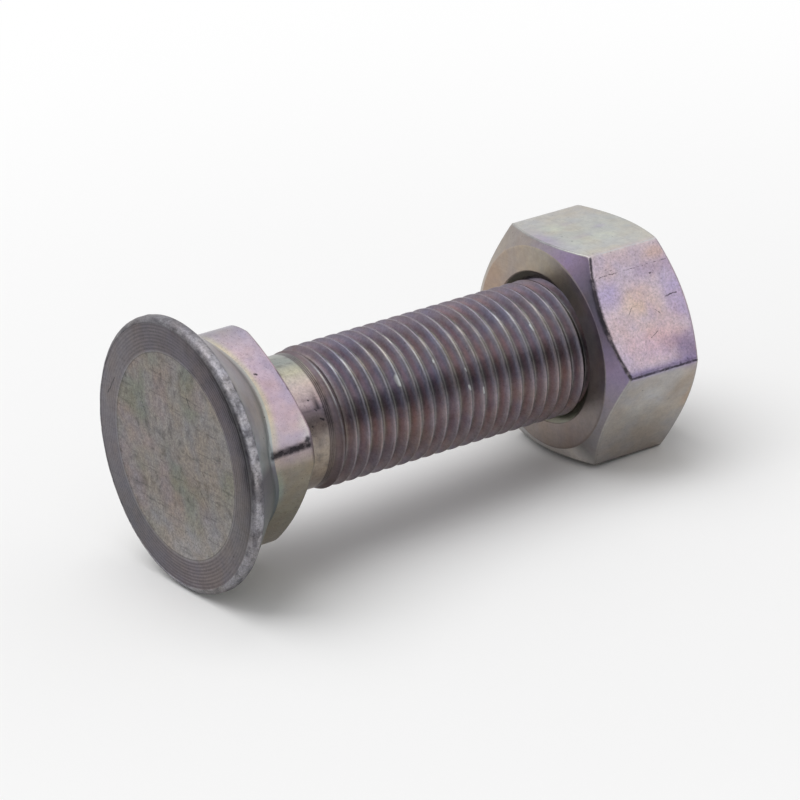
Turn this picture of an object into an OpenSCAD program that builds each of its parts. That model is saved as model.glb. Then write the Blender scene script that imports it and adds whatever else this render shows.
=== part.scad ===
// Flat countersunk bolt with a square neck, and its hexagon nut, lying as they come to rest.
// The bolt is drawn along +X with the middle of its flush face at x = 0, then it is tipped
// until the rim of the head and a flat of the nut both touch the ground.

/* [Head] */
// Outer diameter of the head
head_d = 27.3; // [24:0.1:34]
// Height of the straight rim, from the flush face to the start of the cone
rim_h = 1; // [0.8:0.1:2]
// Radius of the rounded edge of the flush face
edge_r = 0.6; // [0.2:0.1:0.7]
// Full angle of the cone under the head
cone_angle = 90; // [80:1:100]

/* [Square neck] */
// Width across the flats of the square
square_af = 18.2; // [17:0.1:19]
// Radius of the corners of the square
square_corner_r = 3; // [2:0.1:4]
// Radius of the crowned sides of the square
square_crown_r = 26.4; // [20:0.2:40]
// Length of the flats at their middle, from the cone to the end of the square
square_l = 3.55; // [2:0.05:8]
// Length along the bolt over which the corners are cut back at the end of the square
square_cut = 0.5; // [0.2:0.1:0.8]
// Turn of the square about the bolt, away from one flat facing sideways
square_turn = 35; // [0:0.5:90]

/* [Shank] */
// Nominal thread diameter
thread_d = 14; // [10:0.5:15]
// Thread pitch
thread_pitch = 1.5; // [1:0.25:2]
// Length of the plain shank between the square and the run-out of the thread
plain_l = 4.75; // [2:0.05:10]
// Step from the plain shank up to the crests of the thread
plain_step = 0.35; // [0.1:0.05:0.8]
// Length of the bolt over all
bolt_l = 57; // [50:0.5:90]
// Chamfer at the free end, the same along the bolt as across it
tip_cut = 1; // [0.5:0.1:1.5]

/* [Nut] */
// Width across the flats of the nut
nut_af = 22; // [20:0.1:24]
// Height of the nut
nut_h = 11; // [8:0.1:12]
// Length of the bolt that stands out of the nut
end_out = 2.8; // [1.6:0.1:10]
// Distance from the flats in to the edge of the round face on each side of the nut
nut_face_in = 0.75; // [0.2:0.05:1.5]
// Angle of the nut's outer chamfers
nut_face_angle = 30; // [15:1:35]
// Width of the countersink around each end of the bore
sink_w = 0.75; // [0.3:0.05:1.2]
// Full angle of the countersinks
sink_angle = 100; // [90:1:120]
// Radial running clearance between the thread crests and the bore
thread_gap = 0.05; // [0.02:0.01:0.1]

/* [Hidden] */
$fn = 96;
// How far a cutting shape runs past what it cuts
over = 0.5;
// How far the middles of the corner arcs are moved out, each way
corner_proud = 0.01;

head_r = head_d / 2;
face_r = head_r - edge_r;
thread_r = thread_d / 2;
plain_r = thread_r - plain_step;
tip_r = thread_r - tip_cut;
bore_r = thread_r + thread_gap;

// The cone runs from the rim down to the plain shank
cone_slope = tan(cone_angle / 2);
cone_end = rim_h + (head_r - plain_r) / cone_slope;
square_end = rim_h + (head_r - square_af / 2) / cone_slope + square_l;

// Each side of the square is an arc around a point beyond the axis. The corner arcs would run
// smoothly into it, and stand out by a trace so that they cross it clearly.
side_in = square_crown_r - square_af / 2;
side_span = square_crown_r - square_corner_r;
corner_at = (sqrt(2 * side_span * side_span - side_in * side_in) - side_in) / 2 + corner_proud;
corner_line = 2 * corner_at + square_corner_r * (2 * corner_at + side_in) / side_span;

// Size of the square over its rounded corners, and the cut across them at its end
square_corner_d = 2 * (corner_at * sqrt(2) + square_corner_r);
square_cut_r = square_corner_d / 2 - square_cut;
square_clear_r = square_corner_d / 2 + over;

// The run-out of the thread rises from the plain length to the crests
runout_l = thread_pitch / 2;
thread_start = square_end + plain_l + runout_l;

// Distance from the flush face to the side of the nut that bears on the work
nut_at = bolt_l - end_out - nut_h;
nut_corner_r = nut_af / 2 / cos(30);
nut_face_r = nut_af / 2 - nut_face_in;
nut_cut = (nut_corner_r - nut_face_r) * tan(nut_face_angle);
nut_flat_inset = nut_face_in * tan(nut_face_angle);
sink_r = bore_r + sink_w;
sink_h = sink_w / tan(sink_angle / 2);

// The pair rests on the tail side of the rim and on the tail end of the nut's lowest flat
rest_run = nut_at + nut_h - nut_flat_inset - rim_h;
tilt = atan((head_r - nut_af / 2) / rest_run);
lift = rim_h * sin(tilt) + head_r * cos(tilt);

// Middle of the tipped pair along X
low_x = edge_r * (cos(tilt) - 1) - face_r * sin(tilt);
high_x = bolt_l * cos(tilt) + tip_r * sin(tilt);
mid_x = (low_x + high_x) / 2;

// Points of a quarter circle that rounds the edge of the flush face
edge_steps = 8;
edge_arc = [for (i = [0:edge_steps])
    let (a = 90 * i / edge_steps)
    [face_r + edge_r * sin(a), edge_r * (1 - cos(a))]];

// Tips the pair onto the ground and centres it over the origin
module at_rest() {
    translate([-mid_x, 0, lift]) rotate([0, tilt, 0]) children();
}

// Turns a half outline of [radius, distance from the flush face] about the bolt's axis
module turned(outline) {
    rotate([0, 90, 0]) rotate_extrude() polygon(outline);
}

// A square with crowned sides and round corners, made of true arcs
module crowned_square() {
    intersection() {
        intersection_for(side = [0:3]) {
            rotate(90 * side) translate([-side_in, 0]) circle(r = square_crown_r);
        }
        union() {
            rotate(45) square(corner_line * sqrt(2), center = true);
            for (side = [0:3]) {
                rotate(90 * side) translate([corner_at, corner_at]) circle(r = square_corner_r);
            }
        }
    }
}

// The round head with its cone
module head() {
    turned(concat([[0, 0]], edge_arc, [[head_r, rim_h], [plain_r, cone_end], [0, cone_end]]));
}

// The square neck, with its corners cut back where it ends
module square_neck() {
    intersection() {
        translate([rim_h, 0, 0]) rotate([square_turn, 0, 0]) rotate([0, 90, 0])
            linear_extrude(height = square_end - rim_h) crowned_square();
        turned([[0, 0], [square_clear_r, 0],
            [square_clear_r, square_end - (square_clear_r - square_cut_r)],
            [square_cut_r, square_end], [0, square_end]]);
    }
}

// The plain length, the thread at its crests and the chamfered end
module shank() {
    turned([[0, rim_h], [plain_r, rim_h], [plain_r, thread_start - runout_l],
        [thread_r, thread_start], [thread_r, bolt_l - tip_cut], [tip_r, bolt_l], [0, bolt_l]]);
}

module bolt() {
    color([0.56, 0.53, 0.53]) at_rest() union() {
        head();
        square_neck();
        shank();
    }
}

// The round cut that leaves the chamfers on both sides of the nut
module nut_envelope() {
    turned([[0, 0], [nut_face_r, 0], [nut_corner_r, nut_cut], [nut_corner_r + over, nut_cut],
        [nut_corner_r + over, nut_h - nut_cut], [nut_corner_r, nut_h - nut_cut],
        [nut_face_r, nut_h], [0, nut_h]]);
}

// The bore, with a countersink at each end
module nut_bore() {
    turned([[0, -over], [sink_r, -over], [sink_r, 0], [bore_r, sink_h],
        [bore_r, nut_h - sink_h], [sink_r, nut_h], [sink_r, nut_h + over], [0, nut_h + over]]);
}

// The hexagon nut, with a flat facing the ground
module nut() {
    color([0.64, 0.62, 0.62]) at_rest() translate([nut_at, 0, 0]) difference() {
        intersection() {
            rotate([0, 90, 0]) rotate([0, 0, 90]) cylinder(h = nut_h, r = nut_corner_r, $fn = 6);
            nut_envelope();
        }
        nut_bore();
    }
}

bolt();
nut();
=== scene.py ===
"""Looks of a plough bolt with its hexagon nut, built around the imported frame."""

import bpy
import numpy as np
from mathutils import Matrix


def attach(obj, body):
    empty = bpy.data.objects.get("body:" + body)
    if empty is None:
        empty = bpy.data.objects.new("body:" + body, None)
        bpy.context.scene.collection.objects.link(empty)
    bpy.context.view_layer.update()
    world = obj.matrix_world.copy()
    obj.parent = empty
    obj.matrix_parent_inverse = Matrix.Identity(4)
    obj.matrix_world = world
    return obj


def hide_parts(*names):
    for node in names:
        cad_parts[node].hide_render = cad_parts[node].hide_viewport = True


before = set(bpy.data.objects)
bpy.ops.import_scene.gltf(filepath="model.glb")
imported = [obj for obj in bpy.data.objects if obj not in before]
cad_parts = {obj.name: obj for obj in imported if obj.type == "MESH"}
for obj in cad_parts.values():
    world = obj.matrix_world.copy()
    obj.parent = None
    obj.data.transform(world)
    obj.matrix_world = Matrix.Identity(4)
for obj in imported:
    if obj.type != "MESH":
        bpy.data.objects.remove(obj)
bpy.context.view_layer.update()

# Sizes in millimetres, as in the part's own source
HEAD_R = 13.65
RIM_H = 1.0
EDGE_R = 0.6
SQUARE_AF = 18.2
SQUARE_CORNER_R = 3.0
SQUARE_CROWN_R = 26.4
CORNER_PROUD = 0.01
SQUARE_CUT = 0.5
SQUARE_TURN = 35.0
SQUARE_END = 9.1
THREAD_R = 7.0
PITCH = 1.5
PLAIN_R = 6.65
THREAD_START = 13.85
BOLT_L = 57.0
TIP_CUT = 1.0
NUT_AF = 22.0
NUT_H = 11.0
NUT_AT = 43.2
NUT_FACE_IN = 0.75
NUT_FACE_ANGLE = 30.0
SINK_R = 7.8
SINK_H = 0.63

# How the pair lies: tipped about the width, lifted and centred
TILT = np.radians(2.8750241)
LIFT = 13.682977
MID_X = 28.286944

# Thread form
ROOT_R = 6.08
NUT_MINOR_R = 6.2
NUT_MAJOR_R = 7.05
CREST_HALF = PITCH / 16
FLANK = np.tan(np.radians(30))
NUT_SLACK = 0.03
# One place on a crest, along the bolt and about it
CREST_X = 14.49
CREST_TURN = np.radians(154.09)
# From the thread's start, its crests rise over CREST_RISE, its roots sink from ROOT_FROM to RUNOUT_L
CREST_RISE = 0.9
ROOT_FROM = 0.1
RUNOUT_L = 2.2

# Points around a ring of the outer skin, and around a ring of a thread
FINE = 240
COARSE = 120
# How far the thread's rows stay from its end rings, in millimetres
RING_GAP = 0.01
# The most of a straight that one rounded corner takes
MOST_ROUNDED = 0.45


def turns(count):
    """Angles about the bolt's axis, from sideways towards up."""
    return np.arange(count) * 2 * np.pi / count


def srgb(*levels):
    """A colour given as screen levels from 0 to 255, as linear light."""
    c = np.array(levels) / 255
    return np.where(c < 0.04045, c / 12.92, ((c + 0.055) / 1.055) ** 2.4)


def ease(low, high, value):
    """0 below low, 1 above high and smooth between."""
    t = np.clip((value - low) / (high - low), 0, 1)
    return t * t * (3 - 2 * t)


def band(value, low, high):
    """1 in the middle between two values and 0 at both."""
    middle, half = (low + high) / 2, (high - low) / 2
    return 1 - ease(0.2, 1.0, np.abs(value - middle) / half)


def lattice(cell, seed):
    """A repeatable number from 0 to 1 for each integer cell."""
    n = cell[..., 0] * 374761393 + cell[..., 1] * 668265263 + cell[..., 2] * 2147483647 + seed * 144665
    n = (n ^ (n >> 13)) * 1274126177
    n = n ^ (n >> 16)
    return (n & 0xFFFF) / 0xFFFF


def noise(points, size, seed):
    """Smooth noise from -1 to 1 with features of that size."""
    p = np.asarray(points) / size
    cell = np.floor(p).astype(np.int64)
    f = p - cell
    f = f * f * (3 - 2 * f)
    total = 0
    for corner in np.ndindex(2, 2, 2):
        share = np.prod(np.where(np.array(corner) == 1, f, 1 - f), axis=-1)
        total = total + share * lattice(cell + np.array(corner), seed)
    return total * 2 - 1


def relief(points, layers, depth=0.0):
    """A depth with noise of several sizes on it, from layers of (height, size, seed)."""
    for height, size, seed in layers:
        depth = depth + height * noise(points, size, seed)
    return depth


def polygon_r(turn, sides, first, apothem, corner_r):
    """Distance from the axis to a regular polygon with round corners."""
    half = np.pi / sides
    a = np.abs((turn - first + half) % (2 * half) - half)
    core = (apothem - corner_r) / np.cos(half)
    across = core * np.cos(half - a)
    on_corner = across + np.sqrt(np.maximum(across ** 2 - core ** 2 + corner_r ** 2, 0))
    on_flat = apothem / np.cos(a)
    is_flat = on_flat * np.sin(a) <= (apothem - corner_r) * np.tan(half)
    return np.where(is_flat, on_flat, on_corner)


def crowned_r(turn):
    """Distance from the axis to the square neck with its crowned sides and round corners."""
    side_in = SQUARE_CROWN_R - SQUARE_AF / 2
    side_span = SQUARE_CROWN_R - SQUARE_CORNER_R
    middle = (np.sqrt(2 * side_span ** 2 - side_in ** 2) - side_in) / 2 + CORNER_PROUD
    core = middle * np.sqrt(2)
    quarter = np.pi / 2
    a = np.abs((turn - np.radians(SQUARE_TURN) + quarter / 2) % quarter - quarter / 2)
    on_side = np.sqrt(SQUARE_CROWN_R ** 2 - (side_in * np.sin(a)) ** 2) - side_in * np.cos(a)
    off = core * np.sin(quarter / 2 - a)
    on_corner = core * np.cos(quarter / 2 - a) + np.sqrt(np.maximum(SQUARE_CORNER_R ** 2 - off ** 2, 0))
    reach = SQUARE_CROWN_R / side_span
    meet = np.arctan2(middle * reach, (middle + side_in) * reach - side_in)
    return np.where(a > meet, on_corner, on_side)


class Skin:
    """Grows one closed mesh out of rings about the bolt's axis."""

    def __init__(self):
        self.x, self.r, self.turn, self.zone, self.share = [], [], [], [], []
        self.faces = []
        self.count = 0

    def add(self, x, r, turn, zone, share=0.0):
        """Adds points and returns their numbers. The share is their place along their zone."""
        x, r, turn, zone, share = np.broadcast_arrays(x, r, turn, zone, share)
        lists = (self.x, self.r, self.turn, self.zone, self.share)
        for kept, new in zip(lists, (x, r, turn, zone, share)):
            kept.append(np.asarray(new, float).ravel())
        numbers = np.arange(self.count, self.count + x.size).reshape(x.shape)
        self.count += x.size
        return numbers

    def join(self, rings):
        """Quads between neighbouring rings of the same count."""
        for a, b in zip(rings[:-1], rings[1:]):
            quads = np.stack([a, np.roll(a, -1), np.roll(b, -1), b], -1)
            self.faces.append(quads)

    def halve(self, fine, coarse):
        """Joins a ring to the next one with half as many points."""
        f0, f1, f2 = fine[0::2], fine[1::2], np.roll(fine, -1)[1::2]
        c0, c1 = coarse, np.roll(coarse, -1)
        for tri in ((f0, f1, c0), (f1, c1, c0), (f1, f2, c1)):
            self.faces.append(np.stack([*tri, tri[2]], -1))

    def double(self, coarse, fine):
        """Joins a ring to the next one with twice as many points."""
        f0, f1, f2 = fine[0::2], fine[1::2], np.roll(fine, -1)[1::2]
        c0, c1 = coarse, np.roll(coarse, -1)
        for tri in ((c0, f1, f0), (c0, c1, f1), (c1, f2, f1)):
            self.faces.append(np.stack([*tri, tri[2]], -1))

    def cap(self, ring, centre, start):
        """Closes a ring with triangles around one point."""
        middle = np.full_like(ring, centre)
        tri = (middle, ring, np.roll(ring, -1)) if not start else (middle, np.roll(ring, -1), ring)
        self.faces.append(np.stack([*tri, tri[2]], -1))

    def screw(self, rows, first_ring, last_ring, radius, zone, low, high, inward=False):
        """A helical band from one plain ring to another, with rows that follow the thread."""
        n = len(first_ring)
        turn = turns(n)
        per = len(rows)
        first = int(np.floor((low - CREST_X) / PITCH)) - 2
        last = int(np.ceil((high - CREST_X) / PITCH)) + 2
        phase = np.concatenate([k + np.array(rows) for k in range(first, last)])
        x = CREST_X + PITCH * (phase[:, None] + (turn[None, :] - CREST_TURN) / (2 * np.pi))
        turn = np.broadcast_to(turn, x.shape)
        inside = (x > low + RING_GAP) & (x < high - RING_GAP)
        numbers = np.where(x <= low + RING_GAP, first_ring[None, :], last_ring[None, :])
        numbers[inside] = self.add(x[inside], radius(x, turn)[inside], turn[inside], zone)
        a, b = numbers[:-1 - per], numbers[1:-per]
        a_next = np.concatenate([numbers[:-1 - per, 1:], numbers[per:-1, :1]], 1)
        b_next = np.concatenate([numbers[1:-per, 1:], numbers[per + 1:, :1]], 1)
        quads = np.stack([a, a_next, b_next, b], -1).reshape(-1, 4)
        self.faces.append(quads[:, ::-1] if inward else quads)

    def arrays(self):
        """The points so far, as flat arrays."""
        return [np.concatenate(v) for v in (self.x, self.r, self.turn, self.zone, self.share)]

    def tidy_faces(self):
        """Faces without repeated points."""
        faces = []
        for f in np.concatenate([q.reshape(-1, 4) for q in self.faces]).tolist():
            clean = [v for i, v in enumerate(f) if v != f[i - 1]]
            if len(set(clean)) > 2 and len(set(clean)) == len(clean):
                faces.append(clean)
        return faces


def stretch(points, rounds, parts, steps=4):
    """Rows of a profile through points, with rounded corners, as (x, r, code, share) for each row.

    The code is k + 0.5 on the straight after point k and k on the corner at point k.
    """
    rows = []
    arcs = []
    for k in range(1, len(points) - 1):
        p, before, after = points[k], points[k - 1], points[k + 1]
        d1, d2 = p - before, after - p
        l1, l2 = np.hypot(*d1), np.hypot(*d2)
        d1, d2 = d1 / l1, d2 / l2
        bend = np.arccos(np.clip((d1 * d2).sum(0), -1, 1))
        reach = np.minimum(rounds[k] * np.tan(bend / 2), MOST_ROUNDED * np.minimum(l1, l2))
        arcs.append((p - d1 * reach, p, p + d2 * reach))
    straight = [(points[0], arcs[0][0])]
    straight += [(arcs[i][2], arcs[i + 1][0]) for i in range(len(arcs) - 1)]
    straight += [(arcs[-1][2], points[-1])]
    for k, (a, b) in enumerate(straight):
        shares = (1 - np.cos(np.pi * np.linspace(0, 1, parts[k] + 1))) / 2
        shares = shares if k == 0 else shares[1:]
        shares = shares if k == len(straight) - 1 else shares[:-1]
        for s in shares:
            rows.append((*(a + (b - a) * s), k + 0.5, s))
        if k < len(arcs):
            a, p, b = arcs[k]
            for s in np.linspace(0, 1, steps + 1):
                rows.append((*((1 - s) ** 2 * a + 2 * s * (1 - s) * p + s ** 2 * b), k + 1.0, s))
    return rows


# Places of a thread's rows along one pitch, from the middle of a crest
THREAD_ROWS = [0.0, 0.05, 0.078, 0.16, 0.28, 0.395, 0.44, 0.5, 0.56, 0.605, 0.72, 0.84, 0.922, 0.95]


def crest_distance(x, turn):
    """Distance in millimetres along the bolt to the nearest thread crest."""
    phase = (x - CREST_X) / PITCH - (turn - CREST_TURN) / (2 * np.pi)
    return np.abs((phase + 0.5) % 1 - 0.5) * PITCH


def thread_r(x, turn):
    """Radius of the bolt's thread, with its run-out and its chamfered end."""
    crest = PLAIN_R + (THREAD_R - PLAIN_R) * ease(THREAD_START, THREAD_START + CREST_RISE, x)
    sunk = ease(THREAD_START + ROOT_FROM, THREAD_START + RUNOUT_L, x)
    root = PLAIN_R + (ROOT_R - PLAIN_R) * sunk
    form = THREAD_R - (crest_distance(x, turn) - CREST_HALF) / FLANK
    share = np.clip((form - ROOT_R) / (THREAD_R - ROOT_R), 0, 1)
    r = root + (crest - root) * share
    return np.minimum(r, THREAD_R - np.maximum(x - (BOLT_L - TIP_CUT), 0))


def bore_r(x, turn):
    """Radius of the nut's thread, with the countersink at each end."""
    form = THREAD_R - (crest_distance(x, turn) - CREST_HALF - NUT_SLACK) / FLANK
    r = np.clip(form, NUT_MINOR_R, NUT_MAJOR_R)
    depth = np.minimum(x - NUT_AT, NUT_AT + NUT_H - x)
    return np.maximum(r, SINK_R - depth * (SINK_R - NUT_MAJOR_R) / SINK_H)


def at_rest(x, r, turn):
    """Points of the bolt's own frame in metres, where the pair lies."""
    y, z = r * np.cos(turn), r * np.sin(turn)
    along = x * np.cos(TILT) + z * np.sin(TILT) - MID_X
    up = -x * np.sin(TILT) + z * np.cos(TILT) + LIFT
    return np.stack([along, y, up], -1) / 1000


def make_piece(name, skin, x, r, turn, tint, feel):
    """The mesh object with its colour and finish stored on its points."""
    mesh = bpy.data.meshes.new(name)
    mesh.from_pydata(at_rest(x, r, turn).tolist(), [], skin.tidy_faces())
    mesh.validate()
    mesh.update()
    mesh.polygons.foreach_set("use_smooth", [True] * len(mesh.polygons))
    for label, values in (("tint", tint), ("feel", feel)):
        layer = mesh.attributes.new(label, "FLOAT_COLOR", "POINT")
        full = np.concatenate([values, np.ones((len(values), 1))], 1)
        layer.data.foreach_set("color", full.astype(np.float32).ravel())
    piece = bpy.data.objects.new(name, mesh)
    bpy.context.scene.collection.objects.link(piece)
    print(name, "triangles", sum(len(p.vertices) - 2 for p in mesh.polygons))
    return piece


# Zones of the bolt, by number
DISC, RING, RIM, CONE, FILLET, FLAT, BREAK, SHOULDER, PLAIN, THREAD, TIP = range(11)

# The sunk disc: its edge slopes over DISC_SLOPE, and its forging relief fades out over DISC_FADE
DISC_R = 10.2
DISC_SINK = 0.09
DISC_SLOPE = 0.25
DISC_FADE = 0.5
# Mesh rings of the disc: the innermost, the step to the next, and the last ones in from its edge
DISC_FIRST = 0.5
DISC_STEP = 0.26
DISC_EVEN = 0.2
DISC_LAST = (0.12, 0.04)

# The ring around the disc, with its grooves
RING_SINK = 0.02
GROOVE = 0.33
GROOVE_DEPTH = 0.012
GROOVE_STEPS = 4
RIM_STEPS = 7

# Forging relief of the disc and wear of the rim, as (height, size, seed) of each layer of noise
FORGING = ((0.026, 2.4, 1), (0.014, 0.9, 2))
RIM_WEAR = 0.05
RIM_RELIEF = ((0.03, 0.5, 4), (0.02, 1.6, 5))

# The bolt's outline from the rim to the turned lines: radius of each corner, rows of each straight
BOLT_ROUNDS = [0, 0.12, 0.9, 0.3, 0.2, 0.5, 0]
BOLT_PARTS = [4, 12, 14, 3, 6, 8]
BOLT_ZONES = {0.5: RIM, 1.0: RIM, 1.5: CONE, 2.0: FILLET, 2.5: FLAT, 3.0: BREAK, 3.5: BREAK,
              4.0: BREAK, 4.5: SHOULDER, 5.0: SHOULDER, 5.5: PLAIN}
# How far beyond the rounded edge the outline begins
RIM_GAP = 0.05
# Least cut at the end of the square, where its sides are
LEAST_CUT = 0.16
# Radii of the rings on the free end
END_RINGS = (5.8, 5.4, 4.5, 3.0, 1.5, 0.5)

# Fine turned lines at the end of the plain length
LINES_FROM = 13.2
LINE_STEP = 0.05
LINE_PITCH = 0.2
LINE_DEPTH = 0.03


def line_share(x):
    """0 on the ridges and 1 in the valleys of the turned lines."""
    return 0.5 - 0.5 * np.cos(2 * np.pi * (x - LINES_FROM) / LINE_PITCH)


def bolt_skin():
    """The whole bolt, from the middle of its flush face to the end of its thread."""
    skin = Skin()
    fine, coarse = turns(FINE), turns(COARSE)
    middle = skin.add([0.0], [0.0], [0.0], DISC)[0]
    rings = []
    even = np.arange(DISC_FIRST, DISC_R - DISC_EVEN, DISC_STEP)
    for r in (*even, *(DISC_R - inset for inset in DISC_LAST)):
        rings.append(skin.add(0.0, r, fine, DISC))
    for r in np.arange(DISC_R + DISC_LAST[-1], HEAD_R - EDGE_R, GROOVE / GROOVE_STEPS):
        rings.append(skin.add(0.0, r, fine, RING))
    for a in np.linspace(0, np.pi / 2, RIM_STEPS):
        x = EDGE_R * (1 - np.cos(a))
        r = HEAD_R - EDGE_R + EDGE_R * np.sin(a)
        rings.append(skin.add(x, r, fine, RIM, a / np.pi * 2 - 1))
    square_r = crowned_r(fine)
    cut = np.maximum(square_r - (square_r.max() - SQUARE_CUT), LEAST_CUT)
    flat = np.ones(FINE)
    points = [np.stack([flat * (EDGE_R + RIM_GAP), flat * HEAD_R]),
              np.stack([flat * RIM_H, flat * HEAD_R]),
              np.stack([RIM_H + HEAD_R - square_r, square_r]),
              np.stack([SQUARE_END - cut, square_r]),
              np.stack([flat * SQUARE_END, square_r - cut]),
              np.stack([flat * SQUARE_END, flat * PLAIN_R]),
              np.stack([flat * LINES_FROM, flat * PLAIN_R])]
    for x, r, code, share in stretch(points, BOLT_ROUNDS, BOLT_PARTS):
        rings.append(skin.add(x, r, fine, BOLT_ZONES[code], share))
    for x in np.arange(LINES_FROM + LINE_STEP, THREAD_START - LINE_STEP / 2, LINE_STEP):
        rings.append(skin.add(x, PLAIN_R - LINE_DEPTH * line_share(x), fine, PLAIN, 1.0))
    skin.cap(rings[0], middle, start=True)
    skin.join(rings)
    first = skin.add(THREAD_START, PLAIN_R, coarse, PLAIN, 1.0)
    skin.halve(rings[-1], first)
    last = skin.add(BOLT_L, THREAD_R - TIP_CUT, coarse, TIP)
    skin.screw(THREAD_ROWS, first, last, thread_r, THREAD, THREAD_START, BOLT_L)
    ends = [last]
    for r in END_RINGS:
        ends.append(skin.add(BOLT_L, r, coarse, TIP))
    skin.join(ends)
    middle = skin.add([BOLT_L], [0.0], [0.0], TIP)[0]
    skin.cap(ends[-1], middle, start=False)
    return skin


def shape_bolt(x, r, turn, zone):
    """Puts the sunk disc, its relief, the turned grooves and the rim's wear into the surface."""
    where = np.stack([x, r * np.cos(turn), r * np.sin(turn)], -1)
    x, r = x.copy(), r.copy()
    disc, ring, rim = zone == DISC, zone == RING, zone == RIM
    sink = DISC_SINK * (1 - ease(DISC_R - DISC_SLOPE, DISC_R, r))
    forged = relief(where, FORGING) * (1 - ease(DISC_R - DISC_FADE, DISC_R, r))
    x[disc] += (sink + forged)[disc]
    x[ring] += RING_SINK + GROOVE_DEPTH * np.cos(2 * np.pi * (r[ring] - DISC_R) / GROOVE)
    r[rim] -= relief(where, RIM_RELIEF, RIM_WEAR)[rim]
    return x, r


# Zones of the nut, by number
FACE, CHAMFER, SIDE, CORNER, BACK, BORE = range(20, 26)

# The nut's outline from one countersink to the other: radius of each corner, rows of each straight
NUT_ROUNDS = [0, 0.1, 0.35, 0.22, 0.22, 0.35, 0.1, 0]
NUT_PARTS = [1, 8, 8, 26, 8, 8, 1]
NUT_ZONES = {0.5: FACE, 1.0: FACE, 1.5: FACE, 2.0: FACE, 2.5: CHAMFER, 3.0: CORNER, 3.5: SIDE,
             4.0: CORNER, 4.5: CHAMFER, 5.0: BACK, 5.5: BACK, 6.0: BACK, 6.5: BACK}
# Radius on the edges between the nut's flats
NUT_EDGE_R = 0.35
# The lip of a countersink: its depth, and its radii inside and outside of the nominal one
LIP_DEPTH = 0.05
LIP_IN = 0.03
LIP_OUT = 0.02
# How far in from the nut's faces its inner thread begins
BORE_INSET = 0.12


def nut_skin():
    """The nut, around its bore."""
    skin = Skin()
    fine, coarse = turns(FINE), turns(COARSE)
    hex_r = polygon_r(fine, 6, np.radians(30), NUT_AF / 2, NUT_EDGE_R)
    face_r = NUT_AF / 2 - NUT_FACE_IN
    cut = (hex_r - face_r) * np.tan(np.radians(NUT_FACE_ANGLE))
    flat = np.ones(FINE)
    front, back = NUT_AT, NUT_AT + NUT_H
    points = [np.stack([flat * (front + LIP_DEPTH), flat * (SINK_R - LIP_IN)]),
              np.stack([flat * front, flat * (SINK_R + LIP_OUT)]),
              np.stack([flat * front, flat * face_r]),
              np.stack([front + cut, hex_r]),
              np.stack([back - cut, hex_r]),
              np.stack([flat * back, flat * face_r]),
              np.stack([flat * back, flat * (SINK_R + LIP_OUT)]),
              np.stack([flat * (back - LIP_DEPTH), flat * (SINK_R - LIP_IN)])]
    rings = []
    for x, r, code, share in stretch(points, NUT_ROUNDS, NUT_PARTS):
        rings.append(skin.add(x, r, fine, NUT_ZONES[code], share))
    skin.join(rings)
    low, high = front + BORE_INSET, back - BORE_INSET
    first = skin.add(low, bore_r(low, coarse), coarse, BORE)
    last = skin.add(high, bore_r(high, coarse), coarse, BORE)
    skin.halve(rings[-1], last)
    skin.double(first, rings[0])
    skin.screw(THREAD_ROWS, first, last, bore_r, BORE, low, high, inward=True)
    return skin


# Roughness, grain and mottling of each zone
FINISH = {
    DISC: (0.48, 1.5, 0.75),
    RING: (0.42, 0.8, 0.6),
    RIM: (0.5, 1.7, 0.4),
    CONE: (0.42, 0.35, 0.5),
    FILLET: (0.36, 0.1, 0.3),
    FLAT: (0.3, 0.25, 0.6),
    BREAK: (0.4, 0.5, 0.5),
    SHOULDER: (0.5, 0.5, 0.5),
    PLAIN: (0.32, 0.6, 0.6),
    THREAD: (0.34, 0.6, 0.8),
    TIP: (0.45, 0.5, 0.5),
    FACE: (0.34, 0.3, 0.6),
    CHAMFER: (0.32, 0.3, 0.5),
    SIDE: (0.32, 0.35, 0.6),
    CORNER: (0.4, 0.4, 0.4),
    BACK: (0.36, 0.25, 0.5),
    BORE: (0.4, 0.3, 0.3),
}
# More roughness where the thread begins, and more grain on the nut's flat around 150 degrees
START_ROUGH = 0.26
FLAT_GRAIN = 0.8


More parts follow.
